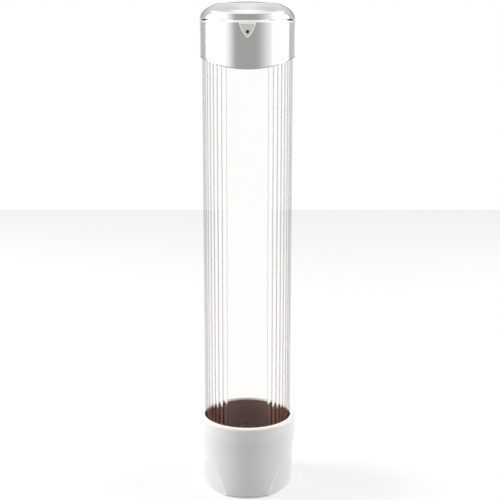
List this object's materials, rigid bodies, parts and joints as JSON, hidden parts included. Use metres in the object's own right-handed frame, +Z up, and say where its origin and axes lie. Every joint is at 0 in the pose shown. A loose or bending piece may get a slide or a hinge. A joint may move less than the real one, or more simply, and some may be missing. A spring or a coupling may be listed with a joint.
{
  "type": "cup dispenser",
  "caption": "Wall-hung pull dispenser for paper cups: clear fluted tube, white foot collar with sprung flaps, silver head with a lift-off lid held by a cam lock.",
  "frame": {"origin": "middle of the cup mouth, on the lower rim of the foot collar", "axes": "+Z up along the tube's axis, -Y the front with the lock, +Y towards the wall, +X to the right seen from the front"},
  "size_m": [0.0948, 0.1002, 0.4725],
  "materials": {
    "white_plastic": "moulded, softly glossy",
    "silver_plastic": "silver-painted moulding, satin",
    "clear_plastic": "extruded, clear and polished",
    "brown_plastic": "moulded, dark brown, fine matt grain",
    "bracket_plastic": "moulded, light grey, matt",
    "shield_metal": "die-cast, satin, with a bright border",
    "lock_steel": "dark plated steel",
    "screw_steel": "bright zinc-plated steel",
    "spring_steel": "bare spring steel"
  },
  "bodies": {
    "housing": {"foot_collar": "white_plastic", "cup_guide": "brown_plastic", "flap_pins": "spring_steel", "flap_spring_front": "spring_steel", "flap_spring_right": "spring_steel", "flap_spring_rear": "spring_steel", "flap_spring_left": "spring_steel", "tube": "clear_plastic", "collar_screws": "screw_steel", "head": "silver_plastic", "head_screws": "screw_steel", "lock_plate": "shield_metal", "lock_sleeve": "lock_steel", "lock_nut": "lock_steel", "upper_bracket": "bracket_plastic", "lower_bracket": "bracket_plastic"},
    "lid": {"lid": "silver_plastic", "lid_catch": "spring_steel", "catch_screws": "screw_steel"},
    "lock": {"lock_barrel": "lock_steel", "lock_cam": "lock_steel", "cam_screw": "screw_steel"},
    "flap_front": {"cup_flap_front": "brown_plastic"},
    "flap_right": {"cup_flap_right": "brown_plastic"},
    "flap_rear": {"cup_flap_rear": "brown_plastic"},
    "flap_left": {"cup_flap_left": "brown_plastic"}
  },
  "joints": [
    {"name": "lid_lift", "type": "slide", "parent": "housing", "child": "lid", "axis": [0, 0, 1], "range_m": [0, 0.06]},
    {"name": "lock_turn", "type": "hinge", "parent": "housing", "child": "lock", "pos_m": [0, -0.0405, 0.44566], "axis": [0, 1, 0], "range_deg": [0, 90]},
    {"name": "flap_front_swing", "type": "hinge", "parent": "housing", "child": "flap_front", "pos_m": [0, -0.038, 0.047], "axis": [-1, 0, 0], "range_deg": [0, 28], "stiffness_Nm_per_rad": 0.01, "springref_deg": -17.19, "deforming": ["flap_spring_front"]},
    {"name": "flap_right_swing", "type": "hinge", "parent": "housing", "child": "flap_right", "pos_m": [0.038, 0, 0.047], "axis": [0, -1, 0], "range_deg": [0, 28], "stiffness_Nm_per_rad": 0.01, "springref_deg": -17.19, "deforming": ["flap_spring_right"]},
    {"name": "flap_rear_swing", "type": "hinge", "parent": "housing", "child": "flap_rear", "pos_m": [0, 0.038, 0.047], "axis": [1, 0, 0], "range_deg": [0, 28], "stiffness_Nm_per_rad": 0.01, "springref_deg": -17.19, "deforming": ["flap_spring_rear"]},
    {"name": "flap_left_swing", "type": "hinge", "parent": "housing", "child": "flap_left", "pos_m": [-0.038, 0, 0.047], "axis": [0, 1, 0], "range_deg": [0, 28], "stiffness_Nm_per_rad": 0.01, "springref_deg": -17.19, "deforming": ["flap_spring_left"]}
  ]
}
